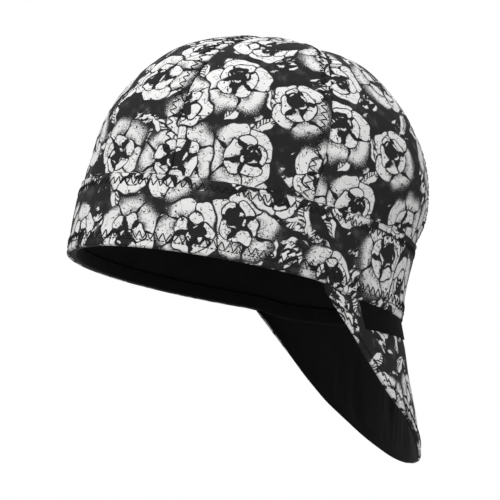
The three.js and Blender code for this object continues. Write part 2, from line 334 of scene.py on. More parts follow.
def lengths(points, axis):
    """How far along each line of a grid its points lie."""
    step = np.linalg.norm(np.diff(points, axis=axis), axis=-1)
    start = np.zeros_like(np.take(step, [0], axis=axis))
    return np.concatenate((start, np.cumsum(step, axis=axis)), axis=axis)


def quads(index, flat):
    """The faces between neighbours of an index grid, with their cloth coordinates."""
    corners = ((0, 0), (1, 0), (1, 1), (0, 1))
    n, m = index.shape[0] - 1, index.shape[1] - 1
    faces = np.stack([index[i : i + n, j : j + m] for i, j in corners], -1)
    cloth = np.stack([flat[i : i + n, j : j + m] for i, j in corners], -2)
    return faces.reshape(-1, 4), cloth.reshape(-1, 4, 2)


def put_piece(name, mesh, material):
    """A smooth piece of one finish that rides on the cap's body."""
    mesh.polygons.foreach_set("use_smooth", np.ones(len(mesh.polygons), bool))
    mesh.materials.append(material)
    mesh.update()
    piece = bpy.data.objects.new(name, mesh)
    bpy.context.collection.objects.link(piece)
    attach(piece, BODY)
    return piece


def add_mesh(name, points, faces, cloth, material):
    """A closed mesh piece with its cloth coordinates, faced outwards."""
    a, b, c, d = (points[faces[:, k]] for k in range(4))
    volume = (a * np.cross(b, c)).sum() + (a * np.cross(c, d)).sum()
    if volume < 0:
        faces, cloth = faces[:, ::-1], cloth[:, ::-1]
    mesh = bpy.data.meshes.new(name)
    mesh.from_pydata((points * MM).tolist(), [], faces.tolist())
    layer = mesh.uv_layers.new(name="cloth")
    layer.data.foreach_set("uv", np.ascontiguousarray(cloth, np.float32).ravel())
    return put_piece(name, mesh, material)


def add_cloth(name, outer, inner, flat, material, ring=False):
    """A cloth wall from two grids of points that share their border. flat holds the cloth's
    own coordinates. ring joins the first column to the last."""
    n, m = outer.shape[:2]
    index = np.arange(n * m).reshape(n, m)
    back = index.copy()
    inside = (slice(None) if ring else slice(1, -1), slice(1, -1))
    count = back[inside].size
    back[inside] = n * m + np.arange(count).reshape(back[inside].shape)
    points = np.concatenate((outer.reshape(-1, 3), inner[inside].reshape(-1, 3)))
    if ring:
        index, back = (np.concatenate((grid, grid[:1])) for grid in (index, back))
    front_faces, front_cloth = quads(index, flat)
    back_faces, back_cloth = quads(back, flat)
    faces = np.concatenate((front_faces, back_faces[:, ::-1]))
    cloth = np.concatenate((front_cloth, back_cloth[:, ::-1]))
    return add_mesh(name, points, faces, cloth, material)


def add_ring(name, grid, flat, material):
    """A closed ring whose every section is a closed line. flat has one more column and row."""
    n, m = grid.shape[:2]
    index = np.arange(n * m).reshape(n, m)
    index = np.concatenate((index, index[:1]))
    index = np.concatenate((index, index[:, :1]), axis=1)
    faces, cloth = quads(index, flat)
    return add_mesh(name, grid.reshape(-1, 3), faces, cloth, material)


def ring_flat(run, profile, seed, side=1):
    """A ring's own cloth coordinates, from its run and from the line of its section."""
    drop = side * lengths(np.concatenate((profile, profile[:1]))[None], 1)[0]
    return turned(np.stack(np.meshgrid(run, drop, indexing="ij"), -1), seed)


def graded(count, size, fine):
    """Shares from 0 to 1 that lie close together near both ends of a length."""
    near = np.array((0, 0.12, 0.3, 0.55, 0.85, 1.25, 1.8, 2.5)) * fine / size
    middle = np.linspace(near[-1], 1 - near[-1], count - 2 * (len(near) - 1))
    return np.concatenate((near[:-1], middle, 1 - near[:-1][::-1]))


def rounded(distance, radius):
    """How far a rounded border drops at a distance from it."""
    near = np.clip(1 - distance / radius, 0, 1)
    return radius * (1 - np.sqrt(1 - near**2))


def unrolled(top, bottom):
    """Two curves joined by straight lines, laid flat: strip after strip from the middle."""
    count = len(top)
    flat = np.zeros((count, 2, 2))
    middle = count // 2
    flat[middle, 1] = (0, -np.linalg.norm(bottom[middle] - top[middle]))

    def third(a, b, from_a, from_b, side):
        """The flat point at these distances from a and b, on one side of their line."""
        line = b - a
        length = np.linalg.norm(line)
        along = (from_a**2 - from_b**2 + length**2) / (2 * length)
        out = math.sqrt(max(from_a**2 - along**2, 0.0))
        direction = line / length
        return a + direction * along + np.array((-direction[1], direction[0])) * out * side

    for way in (1, -1):
        for i in range(middle, count - 1 if way == 1 else 0, way):
            j = i + way
            sides = ((top[j], top[i]), (top[j], bottom[i]))
            sides += ((bottom[j], bottom[i]), (bottom[j], top[j]))
            gaps = [np.linalg.norm(p - q) for p, q in sides]
            flat[j, 0] = third(flat[i, 0], flat[i, 1], gaps[0], gaps[1], way)
            flat[j, 1] = third(flat[i, 1], flat[j, 0], gaps[2], gaps[3], -way)
    return flat


def turned(flat, seed):
    """Cloth coordinates laid another way on the printed length, as a piece is cut from it."""
    draw = np.random.default_rng(seed)
    angle = math.radians(draw.uniform(-12, 12))
    u, v = flat[..., 0], flat[..., 1]
    shift = draw.uniform(0, 400, 2)
    return np.stack(
        (
            u * math.cos(angle) - v * math.sin(angle) + shift[0],
            u * math.sin(angle) + v * math.cos(angle) + shift[1],
        ),
        -1,
    )


# ---- stitches


def add_thread(name, paths, normals, radius, sides, material):
    """Stitches as one mesh: each row of paths is one stitch's line on the cloth, which sinks
    into the cloth at both ends."""
    count, steps = paths.shape[:2]
    along = unit(np.gradient(paths, axis=1))
    side = unit(np.cross(along, normals))
    angles = np.linspace(0, 2 * math.pi, sides, endpoint=False)
    ring = (
        normals[:, :, None] * np.cos(angles)[:, None] + side[:, :, None] * np.sin(angles)[:, None]
    )
    rings = paths[:, :, None] + ring * radius
    tips = paths[:, (0, -1)] + along[:, (0, -1)] * np.array((-radius, radius))[:, None]
    per = steps * sides + 2
    points = np.concatenate((rings.reshape(count, -1, 3), tips), axis=1)
    index = np.arange(steps * sides).reshape(steps, sides)
    index = np.concatenate((index, index[:, :1]), axis=1)
    body = (index[:-1, :-1], index[:-1, 1:], index[1:, 1:], index[1:, :-1])
    start = (index[0, 1:], index[0, :-1], np.full(sides, per - 2))
    end = (index[-1, :-1], index[-1, 1:], np.full(sides, per - 1))
    ends = np.concatenate((np.stack(start, -1), np.stack(end, -1)))
    offsets = (np.arange(count) * per)[:, None, None]
    tubes = (np.stack(body, -1).reshape(-1, 4)[None] + offsets).reshape(-1, 4).tolist()
    caps = (ends[None] + offsets).reshape(-1, 3).tolist()
    mesh = bpy.data.meshes.new(name)
    mesh.from_pydata((points.reshape(-1, 3) * MM).tolist(), [], tubes + caps)
    mesh.validate()
    piece = put_piece(name, mesh, material)


def stitch_lines(surface, ends, radius):
    """Lines of stitches on a surface. ends is (stitches, 2, 2): each stitch's two holes in
    the surface's own coordinates; surface gives points for them and a height."""
    share = np.array((0, 0.08, 0.25, 0.5, 0.75, 0.92, 1))
    lift = np.array((-1.6, -0.2, 0.55, 0.75, 0.55, -0.2, -1.6)) * radius
    places = ends[:, :1] + (ends[:, 1:] - ends[:, :1]) * share[None, :, None]
    low = surface(places[..., 0], places[..., 1], np.zeros(places.shape[:2]))
    high = surface(places[..., 0], places[..., 1], np.ones(places.shape[:2]))
    normals = unit(high - low)
    return low + normals * lift[None, :, None], normals


def zigzag(start, end, pitch, low, high, wobble, seed):
    """The holes of a zigzag between two values along a seam, each stitch from one row of
    holes to the other."""
    count = max(int(round((end - start) / pitch * 2)), 2)
    draw = np.random.default_rng(seed)
    along = np.linspace(start, end, count + 1) + draw.normal(0, wobble, count + 1)
    level = np.where(np.arange(count + 1) % 2, high, low) + draw.normal(0, wobble, count + 1)
    holes = np.stack((along, level), -1)
    return np.stack((holes[:-1], holes[1:]), 1)


def straight(start, end, pitch, level, wobble, seed):
    """The holes of a straight row of stitches with a little cloth between them."""
    count = max(int(round((end - start) / pitch)), 1)
    draw = np.random.default_rng(seed)
    along = np.linspace(start, end, count + 1)
    gap = 0.12 * pitch
    levels = level + draw.normal(0, wobble, (count, 2))
    return np.stack(
        (
            np.stack((along[:-1] + gap, levels[:, 0]), -1),
            np.stack((along[1:] - gap, levels[:, 1]), -1),
        ),
        1,
    )


# ---- finishes


class Signal:
    """A node's output that reads like a number in a sum."""

    def __init__(self, web, socket):
        self.web, self.socket = web, socket

    def __add__(self, other):
        return self.web.math("ADD", self, other)

    def __sub__(self, other):
        return self.web.math("SUBTRACT", self, other)

    def __rsub__(self, other):
        return self.web.math("SUBTRACT", other, self)

    def __mul__(self, other):
        return self.web.math("MULTIPLY", self, other)

    def __truediv__(self, other):
        return self.web.math("DIVIDE", self, other)

    __radd__ = __add__
    __rmul__ = __mul__


class Web:
    """The nodes of one finish."""

    def __init__(self, name):
        self.material = bpy.data.materials.new(name)
        self.material.use_nodes = True
        self.tree = self.material.node_tree
        self.shader = self.tree.nodes["Principled BSDF"]

    def node(self, kind, **settings):
        made = self.tree.nodes.new(kind)
        for key, value in settings.items():
            setattr(made, key, value)
        return made

    def put(self, socket, value):
        if isinstance(value, Signal):
            value = value.socket
        if isinstance(value, bpy.types.NodeSocket):
            self.tree.links.new(value, socket)
        else:
            socket.default_value = value

    def math(self, operation, *values):
        made = self.node("ShaderNodeMath", operation=operation)
        for socket, value in zip(made.inputs, values):
            self.put(socket, value)
        return Signal(self, made.outputs[0])

    def wave(self, phase):
        """A sine from 0 to 1."""
        return self.math("SINE", phase) * 0.5 + 0.5

    def vector(self, operation, *values):
        made = self.node("ShaderNodeVectorMath", operation=operation)
        for socket, value in zip(made.inputs, values):
            self.put(socket, value)
        return made.outputs["Vector"]

    def scaled(self, vector, scale):
        made = self.node("ShaderNodeVectorMath", operation="SCALE")
        self.put(made.inputs[0], vector)
        self.put(made.inputs["Scale"], scale)
        return made.outputs["Vector"]

    def rotated(self, vector, angle):
        made = self.node("ShaderNodeVectorRotate", rotation_type="Z_AXIS")
        self.put(made.inputs["Vector"], vector)
        self.put(made.inputs["Angle"], angle)
        return made.outputs["Vector"]

    def parts(self, vector):
        made = self.node("ShaderNodeSeparateXYZ")
        self.put(made.inputs[0], vector)
        return [Signal(self, socket) for socket in made.outputs]

    def step(self, value, low, high):
        """0 below low, 1 above high and smooth between."""
        made = self.node("ShaderNodeMapRange", interpolation_type="SMOOTHSTEP")
        self.put(made.inputs["Value"], value)
        self.put(made.inputs["From Min"], low)
        self.put(made.inputs["From Max"], high)
        return Signal(self, made.outputs["Result"])

    def noise(self, vector, pitch, detail=0.0, colour=False, space="2D"):
        made = self.node("ShaderNodeTexNoise", noise_dimensions=space)
        self.put(made.inputs["Vector"], vector)
        made.inputs["Scale"].default_value = 1 / pitch
        made.inputs["Detail"].default_value = detail
        return made.outputs["Color"] if colour else Signal(self, made.outputs["Fac"])

    def cells(self, vector, randomness, feature="F1"):
        made = self.node("ShaderNodeTexVoronoi", voronoi_dimensions="2D", feature=feature)
        self.put(made.inputs["Vector"], vector)
        made.inputs["Scale"].default_value = 1
        made.inputs["Randomness"].default_value = randomness
        return made

    def blend(self, share, first, second):
        """first where share is 0 and second where it is 1."""
        return first + (second - first) * share

    def colour(self, share, first, second):
        made = self.node("ShaderNodeMix", data_type="RGBA")
        self.put(made.inputs[0], share)
        self.put(made.inputs[6], first)
        self.put(made.inputs[7], second)
        return made.outputs[2]

    def cloth(self):
        """The place on the flat cloth, in millimetres."""
        return self.node("ShaderNodeUVMap", uv_map="cloth").outputs["UV"]

    def relief(self, height, distance, strength):
        bump = self.node("ShaderNodeBump")
        bump.inputs["Strength"].default_value = strength
        bump.inputs["Distance"].default_value = distance
        self.put(bump.inputs["Height"], height)
        self.put(self.shader.inputs["Normal"], bump.outputs["Normal"])

    def finish(self, **values):
        for key, value in values.items():
            socket = key.replace("_", " ").title().replace("Ior", "IOR")
            self.put(self.shader.inputs[socket], value)
        return self.material


def twill(web, cloth, pitch):
    """The weave's height from 0 to 1: slanting ribs of uneven yarn."""
    u, v, _ = web.parts(cloth)
    yarn = web.noise(cloth, 0.45, 1.0)
    rib = web.wave((u * 0.35 + v) * (2 * math.pi / pitch))
    return rib * 0.55 + yarn * 0.45


def scattered(web, cloth, pitch, sway, randomness):
    """Motifs at a spacing, each turned its own way, with their lines swayed by a noise of
    (wavelength, detail, reach). Gives the swayed place, the motif's random draws and the
    place's two distances from its middle."""
    wavelength, detail, reach = sway
    bend = web.noise(cloth, wavelength, detail, colour=True)
    bend = web.scaled(web.vector("SUBTRACT", bend, (0.5, 0.5, 0.5)), reach)
    place = web.scaled(web.vector("ADD", cloth, bend), 1 / pitch)
    cell = web.cells(place, randomness)
    draw = web.parts(cell.outputs["Color"])
    local = web.scaled(web.vector("SUBTRACT", place, cell.outputs["Position"]), pitch)
    x, y, _ = web.parts(web.rotated(local, draw[0] * (2 * math.pi)))
    return place, draw, x, y


def blossoms(web, cloth, grain, pitch):
    """One row of the print: open blossoms with sprayed petals and an inked heart. Gives how
    light the print is, where it covers the ground and how far outside a blossom a place is."""
    randomness = 0.62
    place, draw, x, y = scattered(web, cloth, pitch, (13.0, 1.0, 7.0), randomness)
    border = web.cells(place, randomness, "DISTANCE_TO_EDGE")
    gap = Signal(web, border.outputs["Distance"]) * pitch
    radius = draw[1] * (0.11 * pitch) + 0.39 * pitch
    brush = web.noise(cloth, 4.0, 1.0)

    def ring(offset, size, petals, scallop, twist):
        """How far outside one ring of petals a place is, how near to the line between two,
        and the place's distance and direction from the ring's middle."""
        side = x - radius * offset
        reach = web.math("SQRT", side * side + y * y)
        angle = web.math("ARCTAN2", y, side)
        wave = web.math("COSINE", angle * (petals / 2) + draw[2] * 5.0 + twist)
        wave = web.math("ABSOLUTE", wave)
        bound = radius * size * (web.math("POWER", wave, 0.55) * scallop + (1 - scallop))
        return reach - bound, wave * reach * (2 / petals), side / reach, reach, angle

    rings = (
        ring(0.0, 1.0, 5, 0.17, 0.0),
        ring(-0.2, 0.6, 5, 0.2, 1.0),
        ring(-0.34, 0.3, 4, 0.24, 2.0),
    )
    light = None
    for order, (edge, notch, facing, reach, angle) in enumerate(rings):
        if order < 2:
            inner = rings[order + 1][0]
            fall = web.step(facing, -0.6, 0.9) * (4.2, 3.0)[order] + (0.7, 0.4)[order]
            shade = web.step(inner + grain * fall * 0.32, fall * -0.15, fall)
            strokes = web.math("SINE", angle * 17.0 + brush * 16.0) + grain * 0.5
            lit = web.step(strokes, 0.2, 0.7) * web.step(inner, 0.3, 0.7) * 0.9
            shade = web.math("MAXIMUM", shade, lit)
        else:
            curl = web.math("SINE", reach * (2.1 - 0.02 * pitch) + angle + brush * 3.0)
            shade = web.step(curl + grain * 0.25, 0.15, 0.55)
        line = brush * 0.5 + 0.02
        cut = web.step(web.math("ABSOLUTE", edge) - line, -0.05, 0.28)
        wedge = line + web.step(reach / radius, 0.8, 0.25) * brush * 2.4
        split = web.step(notch + grain * 0.12 - wedge, 0.0, 0.35)
        shade = shade * split
        if light is None:
            light = shade
        else:
            light = web.blend(1 - web.step(edge, -0.12, 0.12), light, shade) * cut
    edge, _, facing, _, _ = rings[0]
    soft = web.step(facing, -0.2, 0.95) * 5.6 + 0.15
    cover = 1 - web.step(edge + grain * soft * 0.5, soft * -1.0, 0.25)
    cover = cover * web.step(gap + grain * 0.25, 0.3, 1.0)
    return light, cover, edge


def leaves(web, cloth, grain, pitch):
    """Small pointed leaves with inked ribs, as light on the dark ground."""
    _, draw, x, y = scattered(web, cloth, pitch, (6.0, 0.0, 3.5), 0.85)
    half = web.math("ABSOLUTE", y)
    share = x / (0.5 * pitch)
    width = (1 - share * share) * (0.2 * pitch)
    edge = half - width
    ribs = web.step(web.math("SINE", (x + half * 0.8) * 2.6) + grain * 0.7, -0.35, 0.1)
    side = web.step(y + grain * 0.6, -0.5, 0.6)
    light = web.math("MAXIMUM", ribs, side) * web.step(half, 0.12, 0.4)
    return light * (1 - web.step(edge + grain * 0.15, -0.25, 0.05)) * web.step(draw[1], 0.3, 0.32)


def printed_cotton(settings):
    web = Web("printed cotton twill")
    cloth = web.cloth()
    grain = (web.noise(cloth, 0.6, 1.0) - 0.5) * 3.4
    light, cover, edge = blossoms(web, cloth, grain, settings.motif)
    dots = web.step(web.noise(cloth, 1.7, 0.0), 0.79, 0.83)
    cracks = web.step(web.math("ABSOLUTE", web.noise(cloth, 9.0, 2.0) - 0.5), 0.003, 0.01)
    light = light * (1 - dots) * cracks
    leaf = leaves(web, cloth, grain, settings.motif * 0.4)
    slanted = web.vector("MULTIPLY", web.rotated(cloth, 0.9), (1.0, 0.4, 1.0))
    scratches = web.step(web.noise(slanted, 2.6, 5.0), 0.5, 0.54)
    patches = web.step(web.noise(cloth, 15.0, 2.0) + grain * 0.02, 0.53, 0.57)
    bare = web.step(web.noise(cloth, 23.0, 1.0) + grain * 0.01, 0.44, 0.47)
    ground = web.math("MAXIMUM", leaf * (1 - patches), scratches * patches) * bare
    smoke = web.step(web.noise(cloth, 9.0, 3.0) + grain * 0.05, 0.5, 0.85)
    ground = web.math("MAXIMUM", ground * web.step(edge, 0.4, 1.4), smoke * 0.07)
    print_light = web.blend(cover, ground, light)
    weave = twill(web, cloth, 1.15)
    fade = web.noise(cloth, 6.0, 3.0) * 0.14 + 0.93 + grain * 0.015
    tint = print_light * (weave * 0.14 + 0.9) * fade + weave * weave * 0.05
    colour = web.colour(tint, (*settings.ink, 1.0), (*settings.white, 1.0))
    web.relief(weave + print_light * 0.15, 0.00016, 0.55)
    return web.finish(
        base_color=colour,
        roughness=web.blend(print_light, 0.88, 0.94),
        sheen_weight=0.02,
        sheen_roughness=0.5,
        specular_ior_level=0.06,
    )


def black_cotton(settings, yarn=None):
    web = Web("black cotton lining")
    cloth = web.cloth()
    weave = twill(web, cloth, 0.9)
    lint = web.step(web.noise(cloth, 1.3, 1.0), 0.72, 0.8)
    worn = web.noise(cloth, 22.0, 2.0)
    share = weave * 0.35 + worn * 0.4 + lint * 0.25
    # Inside the crown, yarn is a lighter colour than the lining's own: painted light for the light
    # that reaches into the crown
    colour = web.colour(share, (0.003, 0.003, 0.0032, 1.0), (*(yarn or settings.lining), 1.0))
    web.relief(weave, 0.00014, 0.5)
    return web.finish(
        base_color=colour,
        roughness=web.blend(worn, 0.86, 0.95),
        sheen_weight=0.02,
        sheen_roughness=0.45,
        specular_ior_level=0.12,
    )


# The lining inside the crown: the same black cotton with lighter yarns, which is painted light
# standing in for the light that reaches into the crown
def crown_cotton_painted_light(settings):
    return black_cotton(settings, tuple(settings.inside))


def woven_tape(settings):
    web = Web("black woven tape")
    cloth = web.cloth()
    u, v, _ = web.parts(cloth)
    ribs = web.wave(v * (2 * math.pi / 0.55))
    yarn = web.wave(u * (2 * math.pi / 0.8) + web.noise(cloth, 2.0) * 3.0)
    height = ribs * 0.6 + yarn * 0.4
    colour = web.colour(height, (0.0008, 0.0008, 0.0009, 1.0), (*settings.tape, 1.0))
    web.relief(height, 0.00012, 0.5)
    return web.finish(
        base_color=colour,
        roughness=web.blend(height, 0.78, 0.9),
        sheen_weight=0.005,
        specular_ior_level=0.05,
    )


def sewing_thread(settings):
    web = Web("black sewing thread")
    place = web.node("ShaderNodeTexCoord").outputs["Object"]
    ply = web.noise(place, 0.0004, 1.0, space="3D")
    colour = web.colour(ply, (0.002, 0.002, 0.0022, 1.0), (*settings.thread, 1.0))
    web.relief(ply, 0.00008, 0.6)
    rough = web.blend(ply, 0.55, 0.7)
    return web.finish(base_color=colour, roughness=rough, specular_ior_level=0.15)


FINISHES = {
    "printed_cotton": printed_cotton,
    "lining": black_cotton,
    "crown_lining": crown_cotton_painted_light,
    "label": woven_tape,
    "thread": sewing_thread,
}
made_finishes = {}


def finish_of(name):
    """One material for each finish, made when the first piece needs it."""
    if name not in made_finishes:
        made_finishes[name] = FINISHES[name](bpy.context.scene.cap_finish)
    return made_finishes[name]


# ---- sizes and colours that a user would change


class CapRelief(PropertyGroup):
    swell: FloatProperty(
        name="Swell", description="How far the cloth swells and sinks, in mm",
        default=0.55, min=0, max=1.2,
    )
    pucker: FloatProperty(
        name="Pucker", description="Height of the small puckers along the seams, in mm",
        default=0.14, min=0, max=0.5,
    )
    lap: FloatProperty(
        name="Seam lap", description="How far the sewn-down seam allowance stands up, in mm",
        default=0.45, min=0, max=1,
    )
    lap_width: FloatProperty(
        name="Lap width", description="Width of the sewn-down seam allowance, in mm",
        default=9.0, min=4, max=14,
    )


class CapFinish(PropertyGroup):
    motif: FloatProperty(
        name="Motif", description="Spacing of the printed blossoms, in mm",
        default=42.0, min=10, max=80,
    )
    ink: FloatVectorProperty(
        name="Ink", description="Charcoal of the print's ground", subtype="COLOR", size=3,
        default=(0.0085, 0.0085, 0.009), min=0, max=1,
    )
    white: FloatVectorProperty(
        name="White", description="Light part of the print", subtype="COLOR", size=3,
        default=(0.75, 0.75, 0.745), min=0, max=1,
    )
    lining: FloatVectorProperty(
        name="Lining", description="Lighter yarns of the lining", subtype="COLOR", size=3,
        default=(0.0125, 0.0125, 0.0132), min=0, max=1,
    )
    # The crown's inner lining is made lighter than the same lining elsewhere: painted light for the
    # light that reaches into the crown
    inside: FloatVectorProperty(
        name="Inside", description="Lighter yarns of the lining inside the crown", subtype="COLOR",
        size=3, default=(0.03, 0.03, 0.031), min=0, max=1,
    )
    tape: FloatVectorProperty(
        name="Label", description="Lighter yarns of the label", subtype="COLOR", size=3,
        default=(0.0042, 0.0042, 0.0047), min=0, max=1,
    )
    thread: FloatVectorProperty(
        name="Thread", description="Lighter side of the sewing thread", subtype="COLOR", size=3,
        default=(0.008, 0.008, 0.0085), min=0, max=1,
    )


class CapStitching(PropertyGroup):
    thread_radius: FloatProperty(
        name="Thread radius", description="Radius of the sewing thread, in mm",
        default=0.31, min=0.1, max=0.6,
    )
    band_pitch: FloatProperty(
        name="Band pitch", description="Length of one zigzag on the band, in mm",
        default=4.4, min=2, max=8,
    )
    seam_pitch: FloatProperty(
        name="Seam pitch", description="Length of one zigzag on the crown, in mm",
        default=4.9, min=2, max=8,
    )
    sides: IntProperty(
        name="Thread sides", description="Sides of the thread's section", default=6, min=4, max=12
    )


class CapStage(PropertyGroup):
    floor: FloatProperty(
        name="Floor", description="Height of the floor under the cap's rim",
        default=-0.42, subtype="DISTANCE", unit="LENGTH",
    )
    key: FloatProperty(
        name="Key light", description="Power of the main soft light", default=29.0,
        min=0, unit="POWER",
    )
    fill: FloatProperty(
        name="Fill light", description="Power of the soft light from the right", default=6.0, min=0,
        unit="POWER",
    )
    crown: FloatProperty(
        name="Crown light", description="Power of the soft light behind the crown", default=13.0,
        min=0, unit="POWER",
    )
    sky: FloatProperty(
        name="Surround", description="Brightness of the light from all round", default=0.45, min=0
    )
    floor_glow: FloatProperty(
        name="Floor glow", description="Light that the pale floor gives to the camera alone",
        default=0.42, min=0,
    )
    backdrop: FloatProperty(
        name="Backdrop", description="Brightness of the white backdrop", default=1.0, min=0
    )
    lens: FloatProperty(
        name="Lens", description="Focal length of the camera", default=133.85, min=10,
        subtype="DISTANCE_CAMERA",
    )


# ---- the crown


class PanelCut:
    """One crown panel's cloth: its grid, its own coordinates and its relief."""

    def __init__(self, index):
        self.index = index
        low, band, top = way_at(LAYERS_START), way_at(BAND_HEIGHT - 2.0), APEX
        ways = np.concatenate((np.linspace(low, band, 8)[:-1], np.linspace(band, top, 104)))
        shares = graded(66, 88.0, 0.8)
        self.across, self.way = np.meshgrid(shares, ways, indexing="ij")
        face = crown_point(index, self.across, self.way, 0.0)
        run = lengths(face, 0)
        self.width = run[-1]
        self.ways = ways
        self.rise = lengths(face, 1)[len(shares) // 2]
        self.u = run - self.width / 2
        self.v = np.broadcast_to(self.rise, run.shape)

    def relief(self, across, way):
        """How far the face stands out at a place on the panel."""
        relief = bpy.context.scene.cap_relief
        width = np.interp(way, self.ways, self.width)
        rise = np.interp(way, self.ways, self.rise)
        u = (across - 0.5) * width
        start, end = across * width, (1 - across) * width
        room = smoothstep(width, 8.0, 34.0)
        lap = relief.lap * room * (1 - smoothstep(end, relief.lap_width, relief.lap_width + 2.4))
        swell = relief.swell * ripple(u, rise, 46.0, 20 + self.index)
        swell *= 1 - np.exp(-np.minimum(start, end) / 10.0)
        wave = puckers(rise, (u, rise), 6.8, 1.7, 30.0, 40 + self.index)
        near = np.exp(-start / 7.0) + np.exp(-np.abs(end - relief.lap_width) / 3.5)
        pucker = relief.pucker * room * wave * near
        sink = SEAM_SINK * np.exp(-start / 1.9) * room + TOP_SINK * smoothstep(way, 0.4, 0.7)
        free = smoothstep(way, way_at(BAND_HEIGHT - 3.0), way_at(BAND_HEIGHT + 7.0))
        stand = (lap + swell + pucker - sink) * free - BAND_SINK * (1 - free)
        return np.maximum(stand, -DEEPEST_SINK)

    def point(self, across, way, stand=0.0):
        width = np.interp(way, self.ways, self.width)
        border = rounded(across * width, 0.75) + rounded((1 - across) * width, 0.8)
        border = np.minimum(border, 0.8)
        depth = np.minimum(border - self.relief(across, way), DEEPEST_FACE)
        return crown_point(self.index, across, way, depth - stand)

    def from_seam(self, rise, distance, stand):
        """A point by the length up the panel and the distance from its last seam."""
        way = np.interp(rise, self.rise, self.ways)
        width = np.interp(way, self.ways, self.width)
        return self.point(1 - distance / width, way, stand)


class CAP_OT_crown_panels(Operator):
    """Build the six printed panels of the crown"""

    bl_idname = "cap.crown_panels"
    bl_label = "Crown panels"

    def execute(self, context):
        for index, (place, _, _) in enumerate(PANELS):
            cut = PanelCut(index)
            outer = cut.point(cut.across, cut.way)
            sunk = np.clip(-cut.relief(cut.across, cut.way), 0, LINING_ROOM)
            inner = crown_point(index, cut.across, cut.way, CLOTH + sunk)
            flat = turned(np.stack((cut.u, cut.v), -1), PANEL_LAYS[index])
            piece = add_cloth(
                "printed_panel_" + place, outer, inner, flat, finish_of("printed_cotton")
            )
            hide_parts("crown_panel_" + place)
        return {"FINISHED"}


# ---- the band


class BandCut:
    """The band's cloth round the rim. Its own joint is at the back."""

    columns = 480

    def __init__(self):
        self.turns = np.linspace(BACK, BACK_AGAIN, self.columns + 1)
        middle = wall_point(self.turns, BAND_HEIGHT / 2, -CLEARANCE - BAND_CLOTH)
        self.run = lengths(middle, 0)
        self.total = self.run[-1]

    def relief(self, run, height):
        relief = bpy.context.scene.cap_relief
        joint = np.minimum(run, self.total - run)
        swell = relief.swell * ripple(run, height, 52.0, 3)
        hems = 0.2 * (1 - smoothstep(height, 9.0, 11.5)) - 0.45 * smoothstep(height, 31.0, 40.0)
        wave = puckers(run, (run, height), 5.6, 2, 34.0, 5)
        pucker = relief.pucker * wave * (bell(height, 34.0, 3.0) + bell(height, 10.0, 3.0))
        seam = -0.7 * bell(joint, 0, 1.0) + 0.25 * (1 - smoothstep(run, 6.0, 8.0))
        calm = smoothstep(joint, 0.0, 12.0) * smoothstep(height, 0.0, 5.0)
        calm = calm * (1 - smoothstep(height, BAND_HEIGHT - 3.0, BAND_HEIGHT))
        return (swell + pucker) * calm + hems + seam

    def point(self, run, height, stand=0.0):
        turn = np.interp(run, self.run, self.turns)
        out = CLEARANCE + BAND_CLOTH + self.relief(run, height) + stand
        return wall_point(turn, height, -out)


class CAP_OT_band(Operator):
    """Build the printed band with its edge rolled under the rim"""

    bl_idname = "cap.band"
    bl_label = "Band"

    def execute(self, context):
        cut = BandCut()
        face = -CLEARANCE - BAND_CLOTH
        half = BAND_CLOTH / 2
        fold = [
            (face + half - half * math.cos(a), BAND_HEIGHT - half + half * math.sin(a))
            for a in np.linspace(math.pi, 0, 7)[1:-1]
        ][::-1]
        outside = [(face, height) for height in np.linspace(BAND_HEIGHT - half, ROLL, 44)]
        roll = [(face + 0.05, 0.8), (face + 0.2, 0.42), (face + 0.46, 0.16), (face + 0.8, 0.03)]
        roll += BAND_ROLL
        inside = [(-CLEARANCE, height) for height in np.linspace(ROLL + 2, BAND_HEIGHT - half, 10)]
        profile = np.array(fold + outside + roll + inside)
        run = cut.run[:-1, None]
        depth, height = profile[None, :, 0], profile[None, :, 1]
        weight = np.zeros(len(profile))
        weight[: len(fold)] = np.linspace(0.3, 0.9, len(fold))
        rolled = len(fold) + len(outside)
        weight[len(fold) : rolled] = 1
        weight[rolled : rolled + 4] = (0.8, 0.5, 0.2, 0.1)
        stand = cut.relief(run, np.clip(height, ROLL, BAND_HEIGHT - half)) * weight
        grid = wall_point(cut.turns[:-1, None], height, depth - stand)
        flat = ring_flat(cut.run, profile, BAND_LAY, side=-1)
        piece = add_ring("printed_band", grid, flat, finish_of("printed_cotton"))
        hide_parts("band")
        return {"FINISHED"}


# ---- the linings inside the crown


